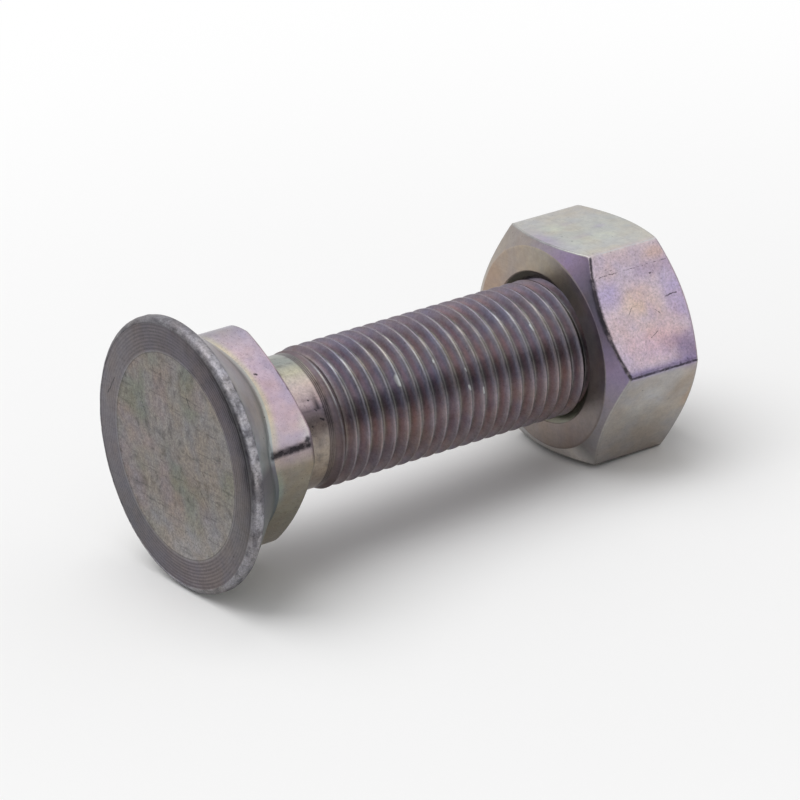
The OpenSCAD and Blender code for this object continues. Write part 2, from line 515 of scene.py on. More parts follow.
class Paint:
    """Colour and finish of every point of a piece.

    Angles are degrees about the bolt's axis: 0 is level, towards +Y, and 90 is up. Colours are
    screen levels from 0 to 255, and lengths are millimetres. A point's share is its place along
    its zone from 0 to 1, and from -1 to 0 on the rounded edge of the rim.
    """

    def __init__(self, x, r, turn, zone, share):
        self.x, self.r, self.zone, self.share = x, r, zone, share
        self.degrees = np.degrees(turn) % 360
        self.turn = turn
        self.where = np.stack([x, r * np.cos(turn), r * np.sin(turn)], -1)
        self.tint = np.zeros((len(x), 3))
        self.feel = np.zeros((len(x), 3))

    def around(self, *stops):
        """A colour that changes with the angle, through stops of (degrees, levels)."""
        angles = [stop[0] for stop in stops]
        colours = np.array([srgb(*stop[1]) for stop in stops])
        parts = [np.interp(self.degrees, angles, part, period=360) for part in colours.T]
        return np.stack(parts, -1)

    def lay(self, zone, colour):
        """Colours one zone, and gives it its finish."""
        here = self.zone == zone
        self.tint[here] = colour[here] if np.ndim(colour) > 1 else colour
        self.feel[here] = FINISH[zone]

    def over(self, zones, levels, share):
        """Blends a colour over some zones by a share for each point."""
        here = np.isin(self.zone, zones)
        part = (np.clip(share, 0, 1) * here)[:, None]
        self.tint = self.tint * (1 - part) + srgb(*levels) * part

    def off(self, degrees):
        """How far each point lies from an angle about the axis."""
        return np.abs((self.degrees - degrees + 180) % 360 - 180)

    def near(self, degrees, half):
        """1 at an angle about the axis, falling to 0 that far away."""
        return 1 - ease(0, half, self.off(degrees))

    def patch(self, x, degrees, half_x, half_degrees):
        """1 in the middle of a patch, falling to 0 at its ragged edge."""
        away = np.hypot((self.x - x) / half_x, self.off(degrees) / half_degrees)
        return 1 - ease(0.2, 1.0, away + 0.25 * noise(self.where, 1.1, 31))


def paint_head(p, rag, wide, fine):
    """Colours the flush face and the rim."""
    # Disc: clouds, flecks and a dark edge
    p.lay(DISC, srgb(138, 134, 131))
    p.over([DISC], (116, 122, 108), ease(-0.1, 0.7, wide) * 0.6)
    p.over([DISC], (144, 128, 130), ease(0.0, 0.7, noise(p.where, 2.2, 13)) * 0.4)
    p.over([DISC], (86, 82, 80), ease(0.3, 0.8, fine) * 0.5)
    p.over([DISC], (156, 154, 150), ease(0.3, 0.8, noise(p.where, 0.6, 17)) * 0.25)
    p.over([DISC], (158, 155, 156), ease(4.0, 9.0, p.r) * p.near(262, 70) * 0.6)
    p.over([DISC], (70, 68, 68), ease(DISC_R - 0.14, DISC_R - 0.05, p.r) * 0.6)

    # Ring: its tone by angle and the dark valleys of its grooves, darkest at the top and the bottom,
    # are painted light and shade; the bright line at the disc is a painted highlight; the ragged black
    # outer edge and the dark zone inside it, on the side around 150 degrees, are painted shade
    ring = p.around((20, (118, 114, 118)), (70, (106, 101, 106)), (140, (94, 88, 95)),
                    (200, (108, 104, 104)), (260, (124, 117, 122)), (310, (100, 98, 103)),
                    (350, (113, 109, 114)))
    p.lay(RING, ring)
    valley = np.clip(np.cos(2 * np.pi * (p.r - DISC_R) / GROOVE), 0, 1)
    p.over([RING], (58, 54, 60), valley * (0.15 + 0.45 * p.near(262, 60) + 0.4 * p.near(75, 45)))
    p.over([RING], (150, 148, 150), ease(DISC_R + 0.2, DISC_R + 0.05, p.r) * 0.5)
    p.over([RING], (54, 51, 58), ease(10.8, 12.6, p.r) * p.near(155, 72) * (0.8 + 0.2 * rag))
    p.over([RING], (20, 18, 24), ease(12.35, 12.65, p.r + 0.3 * rag) * p.near(150, 56) * 0.9)
    p.over([RING], (70, 66, 72), ease(0.2, 0.7, rag) * p.near(120, 70) * 0.4)

    # Rim: bare metal with flecks; its tone by angle is painted light, and the black where it meets the
    # ring, on the side around 158 degrees, is painted shade
    rim = p.around((70, (116, 114, 119)), (100, (124, 122, 128)), (130, (164, 162, 168)),
                   (160, (196, 194, 199)), (172, (178, 175, 180)), (240, (142, 140, 143)),
                   (320, (130, 128, 131)))
    p.lay(RIM, rim)
    p.over([RIM], (84, 82, 88), ease(0.0, 0.6, fine) * 0.6)
    p.over([RIM], (172, 172, 175), ease(0.2, 0.8, noise(p.where, 0.7, 18)) * 0.2)
    p.over([RIM], (26, 24, 30), ease(-0.3, -0.6, p.share + 0.15 * rag) * p.near(158, 70) * 0.9)
    p.over([RIM], (60, 58, 64), ease(0.1, 0.5, rag) * p.near(172, 22) * 0.45)
    front_half = ease(0.35, -0.3, p.share) * p.near(150, 70)
    p.over([RIM], (70, 68, 75), ease(0.0, 0.5, noise(p.where, 0.55, 24)) * front_half * 0.4)


def paint_neck(p, rag, wide, fine):
    """Colours the cone, the square and the plain length."""
    # Cone, and the rounding between it and the square. The cone's tone by angle is partly plating
    # colour and partly painted light, with painted shade beside the rounding; the rounding is a darker
    # copy of the cone, painted shade, with a painted highlight along its top and more painted shade
    # around 200 degrees
    cone = p.around((60, (165, 160, 163)), (120, (164, 159, 162)), (140, (178, 178, 176)),
                    (158, (186, 192, 192)), (168, (170, 178, 180)), (174, (118, 116, 124)),
                    (200, (125, 129, 127)), (260, (134, 134, 126)), (340, (144, 142, 140)))
    p.lay(CONE, cone)
    p.over([CONE], (84, 98, 100), ease(0.75, 1.0, p.share) * 0.5)
    p.lay(FILLET, cone * 0.85)
    p.over([FILLET], (190, 196, 182), ease(0.45, 0.8, p.share) * p.near(125, 52) * 0.4)
    p.over([FILLET], (92, 104, 110), p.near(200, 34) * 0.6)

    # Square: tone by angle, partly plating colour and partly painted light, darker from 171 to 178
    # degrees; yellow at the cone, partly a painted highlight; violet at its end, and a scuffed edge
    # where it breaks
    flat = p.around((35, (150, 150, 140)), (82, (158, 152, 160)), (100, (184, 168, 180)),
                    (125, (188, 168, 182)), (150, (193, 173, 185)), (163, (185, 172, 183)),
                    (171, (164, 150, 150)), (178, (143, 135, 122)), (215, (150, 146, 131)),
                    (250, (162, 154, 140)), (300, (156, 150, 142)))
    p.lay(FLAT, flat)
    p.over([FLAT], (200, 200, 158), ease(0.26, 0.04, p.share) * ease(0.0, 0.5, p.near(125, 60)) * 0.5)
    p.over([FLAT], (160, 154, 180), ease(0.6, 0.95, p.share + 0.15 * wide) * p.near(118, 50) * 0.7)
    p.over([FLAT], (150, 142, 152), ease(0.3, 0.7, fine) * p.near(118, 50) * 0.35)
    p.over([FLAT], (208, 208, 208), ease(0.7, 1.0, p.share + 0.1 * rag) * p.near(158, 13) * 0.8)
    p.over([FLAT], (150, 168, 158), ease(0.25, 0.05, p.share) * p.near(190, 20) * 0.6)
    p.lay(BREAK, flat * 0.85)
    p.over([BREAK], (70, 66, 74), ease(0.0, 0.5, rag) * p.near(125, 50) * 0.6)
    p.lay(SHOULDER, srgb(130, 122, 126))

    # Plain length: tone by angle, partly plating colour and partly painted light, brighter around 128
    # degrees with a painted dark reflection from 150 to 166 degrees; with scuffs towards the thread
    plain = p.around((60, (150, 148, 146)), (95, (146, 150, 144)), (112, (176, 172, 154)),
                     (128, (200, 184, 180)), (143, (184, 166, 170)), (150, (120, 108, 116)),
                     (166, (128, 118, 116)), (176, (150, 140, 132)), (195, (164, 153, 140)),
                     (240, (160, 149, 142)), (330, (150, 145, 141)))
    p.lay(PLAIN, plain)
    scuffs = ease(0.1, 0.45, noise(p.where, 0.3, 19)) * ease(10.6, 12.6, p.x)
    p.over([PLAIN], (46, 40, 46), scuffs * p.near(149, 22) * 0.9)
    p.over([PLAIN], (90, 84, 84), ease(0.35, 0.8, noise(p.where, 0.6, 15)) * 0.5)


def paint_thread(p, rag, wide):
    """Colours the bolt's thread and the turned lines before it."""
    # Tones by angle of the flanks and of the crest and root lines: plating colour with painted light,
    # brighter from about 125 to 146 degrees and with painted dark reflections around 105 and from 156
    # to 165 degrees
    flank = p.around((85, (128, 117, 131)), (106, (114, 107, 118)), (118, (132, 124, 136)),
                     (128, (158, 148, 158)), (146, (176, 163, 173)), (156, (131, 121, 131)),
                     (165, (121, 111, 121)), (182, (168, 152, 156)), (330, (156, 146, 150)))
    line = p.around((85, (116, 112, 124)), (105, (88, 90, 98)), (116, (98, 100, 106)),
                    (126, (132, 135, 138)), (144, (142, 142, 145)), (158, (102, 102, 108)),
                    (180, (126, 122, 126)), (205, (144, 138, 141)), (330, (145, 138, 142)))

    # Phase is 0 at a crest and 0.5 in a root, and the side towards the head is above 0.5
    phase = ((p.x - CREST_X) / PITCH - (p.turn - CREST_TURN) / (2 * np.pi)) % 1
    after = (phase + 0.5) % 1
    crest = ease(0.465, 0.5, after) * ease(0.62, 0.57, after)
    root = band(phase, 0.36, 0.64)
    begun = ease(THREAD_START + 0.3, THREAD_START + 0.6, p.x)
    on_line = (np.clip(crest + root, 0, 1) * begun)[:, None]
    p.lay(THREAD, flank * (1 - on_line) + line * on_line)

    # Tints along the flanks; painted shade in the roots and just before each crest, and painted
    # highlights on the cores of the crests
    p.over([THREAD], (176, 140, 142), band(phase, 0.6, 0.8) * (0.2 + 0.25 * wide))
    p.over([THREAD], (128, 132, 120), band(phase, 0.5, 0.68) * (0.35 + 0.3 * rag))
    p.over([THREAD], (112, 120, 142), band(phase, 0.76, 0.94) * (0.15 + 0.45 * p.near(140, 50)))
    p.over([THREAD], (84, 86, 92), band(phase, 0.84, 0.985) * (0.3 + 0.5 * p.near(142, 40)))
    p.over([THREAD], (100, 92, 86), root * (0.35 + 0.4 * p.near(120, 45)))
    core = ease(0.46, 0.5, after) * ease(0.57, 0.55, after)
    broken = ease(-0.5, 0.5, noise(p.where, 1.2, 16))
    p.over([THREAD], (205, 208, 206), core * p.near(124, 34) * broken * 0.9)
    on_core = core * begun

    # The shallow start of the thread is duller
    shallow = ease(THREAD_START + 2.4, THREAD_START + 0.5, p.x)
    p.over([THREAD], (106, 94, 96), shallow * (1 - 0.5 * on_core) * 0.8)
    glint = on_core * ease(16.0, 15.2, p.x) * p.near(135, 60)
    p.over([THREAD], (170, 168, 168), glint * (0.2 + 0.5 * rag))
    p.feel[:, 0] += START_ROUGH * shallow * (p.zone == THREAD)

    # The turned lines before the thread: darker where they begin, with painted shade in their valleys,
    # most around 140 degrees
    groove = line_share(p.x) * ease(LINES_FROM, LINES_FROM + 0.1, p.x)
    p.over([PLAIN], (96, 86, 88), ease(LINES_FROM - 0.1, LINES_FROM + 0.1, p.x) * 0.7)
    p.over([PLAIN], (40, 36, 40), groove * (0.5 + 0.35 * p.near(140, 60)))

    # The free end
    p.lay(TIP, srgb(130, 124, 128))


def paint_bolt(*arrays):
    """Colour and finish of the bolt."""
    p = Paint(*arrays)
    # Three noises that the layers share: for ragged edges, wide clouds and fine flecks
    rag = noise(p.where, 0.8, 11)
    wide = noise(p.where, 3.0, 12)
    fine = noise(p.where, 0.45, 14)
    paint_head(p, rag, wide, fine)
    paint_neck(p, rag, wide, fine)
    paint_thread(p, rag, wide)
    return p.tint, p.feel


def paint_nut(*arrays):
    """Colour and finish of the nut."""
    p = Paint(*arrays)
    rag = noise(p.where, 0.8, 21)
    blotch = noise(p.where, 2.6, 22)
    fleck = noise(p.where, 1.3, 23)

    # Face towards the head, and its chamfer. Their tones by angle are painted light: painted shade on
    # the face around 125 degrees and on the chamfer from 125 to 160 degrees, and brighter on the
    # chamfer from 246 to 262 degrees; the dark ragged band where the chamfer meets the flat around 143
    # degrees is painted shade
    face = p.around((30, (164, 146, 134)), (80, (164, 154, 142)), (105, (150, 144, 132)),
                    (125, (122, 118, 112)), (160, (154, 149, 152)), (200, (150, 142, 138)),
                    (240, (144, 132, 128)), (300, (146, 136, 128)))
    p.lay(FACE, face)
    p.over([FACE], (124, 112, 130), ease(8.9, 10.2, p.r + 0.2 * rag) * p.near(150, 70) * 0.7)
    chamfer = p.around((30, (156, 146, 134)), (80, (150, 142, 140)), (95, (146, 136, 148)),
                       (112, (142, 126, 152)), (125, (110, 100, 119)), (138, (86, 82, 92)),
                       (160, (116, 106, 124)), (178, (146, 132, 158)), (200, (152, 146, 152)),
                       (236, (152, 148, 146)), (246, (228, 224, 220)), (262, (214, 208, 204)),
                       (300, (144, 140, 136)))
    p.lay(CHAMFER, chamfer)
    p.over([CHAMFER], (56, 54, 62), ease(0.45, 0.95, p.share + 0.15 * rag) * p.near(143, 24) * 0.7)

    # Flats, one tint each
    side = p.around((30, (182, 176, 176)), (62, (180, 178, 174)), (90, (176, 178, 174)),
                    (118, (184, 184, 180)), (122, (206, 191, 205)), (150, (216, 198, 208)),
                    (176, (210, 192, 206)), (181, (184, 180, 178)), (210, (190, 186, 181)),
                    (238, (174, 168, 164)), (242, (168, 163, 158)), (270, (168, 163, 158)),
                    (300, (172, 167, 160)), (330, (184, 176, 180)))
    p.lay(SIDE, side)
    p.feel[(p.zone == SIDE) & (p.off(150) < 29), 1] = FLAT_GRAIN

    # Clouds of the plating on the flat around 150 degrees, by their place along the nut
    near, middle, far = NUT_AT + 2.2, NUT_AT + 5.2, NUT_AT + 9.8
    p.over([SIDE], (224, 202, 176), p.patch(middle, 147, 3.4, 17) * 0.42)
    p.over([SIDE], (176, 164, 214), p.patch(near, 139, 2.2, 10) * 0.45)
    p.over([SIDE], (172, 160, 214), p.patch(far, 146, 2.2, 24) * 0.45)
    p.over([SIDE], (228, 186, 200), p.patch(middle + 0.8, 168, 5.0, 10) * 0.35)
    p.over([SIDE], (222, 190, 168), p.patch(far - 1.0, 125, 2.4, 4) * 0.4)
    p.over([SIDE], (176, 160, 192), p.patch(far - 2.0, 132, 3.4, 6) * 0.5)
    p.over([SIDE], (196, 178, 208), ease(0.1, 0.6, fleck) * p.near(150, 27) * 0.45)
    p.over([SIDE], (140, 126, 160), p.patch(far - 0.8, 174, 3.4, 12) * 0.75)
    p.over([SIDE], (160, 146, 190), ease(176, 178.6, p.degrees) * ease(182, 180.6, p.degrees) * 0.7)

    # Clouds on the upper flat and on the one below
    p.over([SIDE], (196, 204, 188), ease(0.0, 0.6, blotch) * p.near(90, 28) * 0.7)
    p.over([SIDE], (170, 162, 178), ease(0.1, 0.6, fleck) * p.near(90, 30) * 0.5)
    p.over([SIDE], (164, 154, 176), ease(0.22, 0.02, p.share) * p.near(90, 28) * 0.7)
    p.over([SIDE], (216, 214, 210), p.patch(NUT_AT + 4.5, 198, 3.4, 13) * 0.6)
    p.over([SIDE], (160, 142, 122), p.patch(far - 0.4, 196, 3.4, 14) * 0.5)
    p.over([SIDE], (176, 146, 118), p.patch(NUT_AT + 10.6, 206, 1.6, 14) * 0.5)

    # Edges between the flats and the chamfers, a darker copy of the flats; on the side towards the head
    # they are darker still, painted shade, and black around 150 degrees
    head_side = p.x < NUT_AT + NUT_H / 2
    p.lay(CORNER, side * 0.8)
    p.over([CORNER], (96, 88, 106), p.near(92, 34) * head_side * (0.55 + 0.3 * rag))
    p.over([CORNER], (36, 34, 42), p.near(150, 34) * head_side * ease(-0.9, 0.0, rag) * 0.9)
    p.lay(BACK, srgb(150, 142, 130))
    # Bore: lighter from 235 to 262 degrees, a painted highlight on the lower countersink
    p.lay(BORE, p.around((120, (104, 100, 88)), (205, (104, 100, 88)), (235, (200, 204, 188)),
                         (262, (190, 190, 172)), (290, (110, 106, 94))))
    return p.tint, p.feel


# A mark is full within this share of its half width
MARK_CORE = 0.4


class Weave:
    """Short ways to make and join the nodes of one material."""

    def __init__(self, material):
        material.use_nodes = True
        self.nodes, self.links = material.node_tree.nodes, material.node_tree.links

    def node(self, kind, **values):
        """A new node with some of its settings."""
        made = self.nodes.new(kind)
        for key, value in values.items():
            setattr(made, key, value)
        return made

    def fill(self, socket, value):
        """Links a socket to another one, or gives it a plain value."""
        if isinstance(value, bpy.types.NodeSocket):
            self.links.new(value, socket)
        else:
            socket.default_value = value

    def maths(self, kind, a, b=0.0):
        """One calculation with two numbers."""
        made = self.node("ShaderNodeMath", operation=kind)
        self.fill(made.inputs[0], a)
        self.fill(made.inputs[1], b)
        return made.outputs[0]

    def vector(self, kind, a, b=(0, 0, 0)):
        """One calculation with two vectors."""
        made = self.node("ShaderNodeVectorMath", operation=kind)
        self.fill(made.inputs[0], a)
        self.fill(made.inputs[1], b)
        return made.outputs["Value" if kind in ("DOT_PRODUCT", "LENGTH") else "Vector"]

    def scaled(self, a, factor):
        """A vector times a number."""
        made = self.node("ShaderNodeVectorMath", operation="SCALE")
        self.fill(made.inputs[0], a)
        self.fill(made.inputs["Scale"], factor)
        return made.outputs["Vector"]

    def span(self, value, low, high, to_low=0.0, to_high=1.0, **settings):
        """A number carried from one range to another, and kept within it."""
        made = self.node("ShaderNodeMapRange", **settings)
        ends = {"From Min": low, "From Max": high, "To Min": to_low, "To Max": to_high}
        for name, level in ends.items():
            made.inputs[name].default_value = level
        self.fill(made.inputs["Value"], value)
        return made.outputs["Result"]

    def smooth(self, value, low, high):
        """0 below low, 1 above high and smooth between."""
        return self.span(value, low, high, interpolation_type="SMOOTHSTEP")

    def mix(self, kind, factor, a, b):
        """Two colours blended by a factor."""
        made = self.node("ShaderNodeMix", data_type="RGBA", blend_type=kind)
        for socket, value in ((made.inputs[0], factor), (made.inputs[6], a), (made.inputs[7], b)):
            self.fill(socket, value)
        return made.outputs[2]

    def noise(self, place, size, detail, rough=0.55):
        """Noise from 0 to 1 with features of that size in millimetres."""
        made = self.node("ShaderNodeTexNoise")
        made.inputs["Scale"].default_value = 1 / size
        made.inputs["Detail"].default_value = detail
        made.inputs["Roughness"].default_value = rough
        self.fill(made.inputs["Vector"], place)
        return made.outputs["Fac"]

    def marks(self, place, lines):
        """1 on thin lines through points in millimetres, each with its half width, and 0 off them."""
        total = 0.0
        for half, points in lines:
            for a, b in zip(points[:-1], points[1:]):
                way = b - a
                along = self.vector("DOT_PRODUCT", self.vector("SUBTRACT", place, tuple(a)), tuple(way))
                share = self.span(along, 0.0, max(float(way @ way), 1e-6))
                nearest = self.vector("ADD", self.scaled(tuple(way), share), tuple(a))
                off = self.vector("LENGTH", self.vector("SUBTRACT", place, nearest))
                total = self.maths("MAXIMUM", total, self.span(off, half, half * MARK_CORE))
        return total


def spots(*places):
    """Points in millimetres where the pair lies, from places of (x, r, degrees)."""
    return [at_rest(x, r, np.radians(turn)) * 1000 for x, r, turn in places]


# Sizes of the plating's features in millimetres
WARM_SIZE = 3.4
COOL_SIZE = 2.4
COOL_SHIFT = (40, 9, 3)
MOTTLE_SIZE = 0.8
GRIT_SIZE = 0.24
PIT_GAP = 1.3
PATCHY_SIZE = 0.5
HAIR_SIZE = 0.25
HAIR_TURN = (0.6, 0.2, 0.3)
HAIR_STRETCH = (1.0, 0.06, 1.0)
# How far the edges of marks wander, and over what length, in millimetres
SHAKE = 0.25
SHAKE_SIZE = 0.5
# Height of the grit in metres, and how strongly it shows
GRIT_HEIGHT = 0.00004
GRIT_SHARE = 0.7
METALLIC = 0.9

# Tints that multiply the points' own colour
WARM = (1.04, 0.94, 0.82, 1)
COOL = (0.90, 0.93, 1.03, 1)
SPECK_DARK = (0.62, 0.62, 0.62, 1)
SPECK_PALE = (1.16, 1.16, 1.16, 1)
MOTTLE_DARK = (0.84, 0.84, 0.86, 1)
MOTTLE_PALE = (1.1, 1.1, 1.08, 1)
# Tones of scratches, dark marks and bright marks, as linear light, and how much of each shows. The dark
# marks are scuffs and pits and also painted shade and painted dark reflections; the bright marks
# include painted highlights
SCRATCH = (0.04, 0.04, 0.04, 1)
SCUFF_AND_SHADE = (0.026, 0.023, 0.029, 1)
BARE_AND_GLINT = (0.5, 0.52, 0.52, 1)
SCRATCH_SHARE = 0.22
PIT_SHARE = 0.8
SCUFF_AND_SHADE_SHARE = 0.9
BARE_AND_GLINT_SHARE = 0.85


def plating(w, place, tint, grit, grain, cloud):
    """The points' tint with warm and cool clouds, speckle and mottling over it."""
    warm = w.maths("MULTIPLY", w.span(w.noise(place, WARM_SIZE, 3), 0.42, 0.64), cloud)
    shifted = w.vector("ADD", place, COOL_SHIFT)
    cool = w.maths("MULTIPLY", w.span(w.noise(shifted, COOL_SIZE, 3), 0.45, 0.65), cloud)
    colour = w.mix("MULTIPLY", warm, tint, WARM)
    colour = w.mix("MULTIPLY", cool, colour, COOL)
    speck = w.mix("MIX", w.span(grit, 0.36, 0.62), SPECK_DARK, SPECK_PALE)
    colour = w.mix("MULTIPLY", w.maths("MULTIPLY", grain, 0.8), colour, speck)
    blots = w.span(w.noise(place, MOTTLE_SIZE, 4, 0.6), 0.36, 0.62)
    mottle = w.mix("MIX", blots, MOTTLE_DARK, MOTTLE_PALE)
    return w.mix("MULTIPLY", w.maths("MULTIPLY", cloud, 0.8), colour, mottle)


def pitting(w, place):
    """1 in a few round pits and 0 off them."""
    pit = w.node("ShaderNodeTexVoronoi")
    pit.inputs["Scale"].default_value = 1 / PIT_GAP
    w.fill(pit.inputs["Vector"], place)
    chosen = w.node("ShaderNodeSeparateColor")
    w.fill(chosen.inputs["Color"], pit.outputs["Color"])
    few = w.span(chosen.outputs["Red"], 0.88, 0.9)
    return w.maths("MULTIPLY", w.span(pit.outputs["Distance"], 0.1, 0.04), few)


def shaken(w, place):
    """The place moved about a little, which makes the edges of marks ragged."""
    wander = w.node("ShaderNodeTexNoise")
    wander.inputs["Scale"].default_value = 1 / SHAKE_SIZE
    w.fill(wander.inputs["Vector"], place)
    shake = w.scaled(w.vector("SUBTRACT", wander.outputs["Color"], (0.5, 0.5, 0.5)), SHAKE)
    return w.vector("ADD", place, shake)


def scratches(w, place):
    """1 on fine hairs that run one way and 0 off them."""
    hair = w.node("ShaderNodeMapping")
    hair.inputs["Rotation"].default_value = HAIR_TURN
    hair.inputs["Scale"].default_value = HAIR_STRETCH
    w.fill(hair.inputs["Vector"], place)
    return w.span(w.noise(hair.outputs["Vector"], HAIR_SIZE, 1), 0.62, 0.7)


def steel(name, dark_lines, bright_lines):
    """Plated steel whose tone, roughness and relief come from the points, from noise and from marks."""
    material = bpy.data.materials.new(name)
    w = Weave(material)
    shader = w.nodes["Principled BSDF"]
    shader.inputs["Metallic"].default_value = METALLIC
    place = w.scaled(w.node("ShaderNodeTexCoord").outputs["Object"], 1000)
    tint = w.node("ShaderNodeAttribute", attribute_name="tint").outputs["Color"]
    feel = w.node("ShaderNodeAttribute", attribute_name="feel").outputs["Color"]
    parts = w.node("ShaderNodeSeparateColor")
    w.fill(parts.inputs["Color"], feel)
    rough, grain, cloud = parts.outputs["Red"], parts.outputs["Green"], parts.outputs["Blue"]
    grit = w.noise(place, GRIT_SIZE, 6, 0.7)
    colour = plating(w, place, tint, grit, grain, cloud)

    ragged = shaken(w, place)
    hairs = w.maths("MULTIPLY", scratches(w, ragged), grain)
    colour = w.mix("MIX", w.maths("MULTIPLY", hairs, SCRATCH_SHARE), colour, SCRATCH)
    # Dark marks: pits and scuffs, and painted shade and painted dark reflections along some edges, made
    # patchy by noise
    pits = w.maths("MULTIPLY", pitting(w, place), PIT_SHARE)
    dark = w.maths("MAXIMUM", w.marks(ragged, dark_lines), pits)
    patchy = w.span(w.noise(place, PATCHY_SIZE, 2), 0.36, 0.48, 0.7, 1.0)
    scuff_and_shade = w.maths("MULTIPLY", w.maths("MULTIPLY", dark, patchy), SCUFF_AND_SHADE_SHARE)
    colour = w.mix("MIX", scuff_and_shade, colour, SCUFF_AND_SHADE)
    # Bright marks, which include painted highlights
    bright = w.maths("MULTIPLY", w.marks(ragged, bright_lines), BARE_AND_GLINT_SHARE)
    colour = w.mix("MIX", bright, colour, BARE_AND_GLINT)
    w.fill(shader.inputs["Base Color"], colour)
    w.fill(shader.inputs["Roughness"], w.maths("ADD", rough, w.span(grit, 0.3, 0.7, -0.06, 0.08)))

    bump = w.node("ShaderNodeBump")
    bump.inputs["Distance"].default_value = GRIT_HEIGHT
    bump.inputs["Strength"].default_value = GRIT_SHARE
    w.fill(bump.inputs["Height"], w.maths("MULTIPLY", grit, grain))
    w.fill(shader.inputs["Normal"], bump.outputs["Normal"])
    return material


# Marks as (half width, points): scuffs, scratches and pits, and also painted shade, painted dark
# reflections and painted highlights along some edges. A single spot is a very short line.
BOLT_DARK = [
    # On the square: the two wide marks along the corner near 168 degrees are a painted dark reflection;
    # the small ones are scuffs and scratches
    (0.50, spots((4.2, 10.62, 168.6), (5.2, 10.62, 168.2), (6.3, 10.64, 168), (8.3, 10.62, 167.6))),
    (0.42, spots((8.1, 10.6, 166.8), (8.4, 10.5, 165.0))),
    (0.16, spots((6.57, 9.15, 119), (6.75, 9.15, 119.6))),
    (0.07, spots((5.9, 9.6, 105), (6.05, 9.6, 105.4))),
    (0.09, spots((6.3, 9.4, 139), (6.5, 9.4, 139.4))),
    (0.07, spots((4.9, 9.7, 147.5), (5.1, 9.7, 147.5))),
    (0.06, spots((8.2, 9.7, 104), (8.5, 9.5, 109), (8.8, 9.35, 114))),
    (0.05, spots((7.6, 9.8, 103), (8.0, 9.6, 108), (8.6, 9.4, 113))),
    (0.08, spots((8.0, 9.5, 188), (8.15, 9.5, 188))),
    # On the plain length
    (0.09, spots((12.2, PLAIN_R, 150), (12.4, PLAIN_R, 151.5))),
    (0.09, spots((11.9, PLAIN_R, 141), (12.0, PLAIN_R, 142))),
    (0.14, spots((12.6, PLAIN_R, 158), (12.9, PLAIN_R, 160))),
    (0.10, spots((11.5, PLAIN_R, 163), (11.6, PLAIN_R, 163))),
    # On the thread
    (0.18, spots((24.8, 6.8, 117), (24.9, 6.8, 118))),
    (0.14, spots((38.3, 6.8, 112), (38.4, 6.8, 113))),
    (0.12, spots((29.6, 6.8, 152), (29.7, 6.8, 152))),
    (0.12, spots((26.4, 6.8, 141), (26.5, 6.8, 141))),
    # On the flush face
    (0.10, spots((0.05, 6.5, 118), (0.05, 7.1, 111))),
    (0.06, spots((0.05, 3.0, 200), (0.05, 6.4, 214), (0.05, 8.2, 222))),
    (0.05, spots((0.05, 4.6, 182), (0.05, 7.4, 205))),
    (0.05, spots((0.05, 7.9, 40), (0.05, 4.4, 20))),
    (0.09, spots((0.0, 11.9, 15), (0.0, 11.5, 20), (0.0, 11.3, 26))),
]
BOLT_BRIGHT = [
    (0.34, spots((21.8, 6.9, 144), (21.95, 6.9, 150))),
    (0.16, spots((29.5, 7.0, 167), (29.6, 7.0, 170))),
    (0.13, spots((31.1, 7.0, 172), (31.1, 7.0, 176))),
    (0.13, spots((38.3, 7.0, 134), (38.4, 7.0, 139))),
    (0.13, spots((29.5, 7.0, 153), (29.6, 7.0, 155))),
    (0.12, spots((26.4, 7.0, 139.5), (26.4, 7.0, 141))),
]
NUT_DARK = [
    # Along the edge at 180 degrees a painted dark reflection, and along the front edge from 121 to 180
    # degrees painted shade
    (0.22, spots((44.6, 12.66, 180), (53.0, 12.66, 180))),
    (0.22, spots((44.65, 12.6, 121), (44.0, 11.75, 130))),
    (0.42, spots((44.0, 11.75, 130), (43.75, 11.2, 140), (43.64, 11.0, 150), (43.75, 11.2, 160))),
    (0.30, spots((43.75, 11.2, 160), (44.05, 11.75, 170), (44.6, 12.6, 179.5))),
    (0.06, spots((44.9, 11.7, 129.5), (53.0, 11.7, 129.5))),
    (0.05, spots((44.7, 11.8, 127.8), (49.0, 11.8, 128))),
    (0.09, spots((51.6, 11.0, 147), (53.0, 11.0, 146.5))),
    (0.12, spots((45.8, 11.9, 127), (45.9, 11.9, 127))),
    (0.10, spots((50.7, 11.45, 134), (50.8, 11.45, 134))),
    (0.08, spots((49.2, 11.1, 147), (49.4, 11.1, 148))),
    (0.05, spots((48.4, 11.39, 165), (49.4, 11.29, 163))),
    (0.045, spots((46.8, 11.0, 151), (47.3, 11.01, 148))),
    (0.04, spots((49.9, 11.01, 152), (50.4, 11.04, 155))),
    (0.10, spots((46.7, 11.8, 190), (46.8, 11.8, 190))),
    (0.11, spots((43.9, 11.0, 122), (43.95, 11.0, 123))),
]
NUT_BRIGHT = [
    # A painted highlight along the edge at 120 degrees
    (0.08, spots((44.8, 12.66, 120), (53.0, 12.66, 120))),
]


bolt_mesh = bolt_skin()
x, r, turn, zone, share = bolt_mesh.arrays()
worn_x, worn_r = shape_bolt(x, r, turn, zone)
bolt = make_piece("bolt_body", bolt_mesh, worn_x, worn_r, turn, *paint_bolt(x, r, turn, zone, share))
bolt.data.materials.append(steel("bolt_plating", BOLT_DARK, BOLT_BRIGHT))
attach(bolt, "bolt")
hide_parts("bolt")

nut_mesh = nut_skin()
x, r, turn, zone, share = nut_mesh.arrays()
nut = make_piece("nut_body", nut_mesh, x, r, turn, *paint_nut(x, r, turn, zone, share))
nut.data.materials.append(steel("nut_plating", NUT_DARK, NUT_BRIGHT))
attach(nut, "nut")
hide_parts("nut")

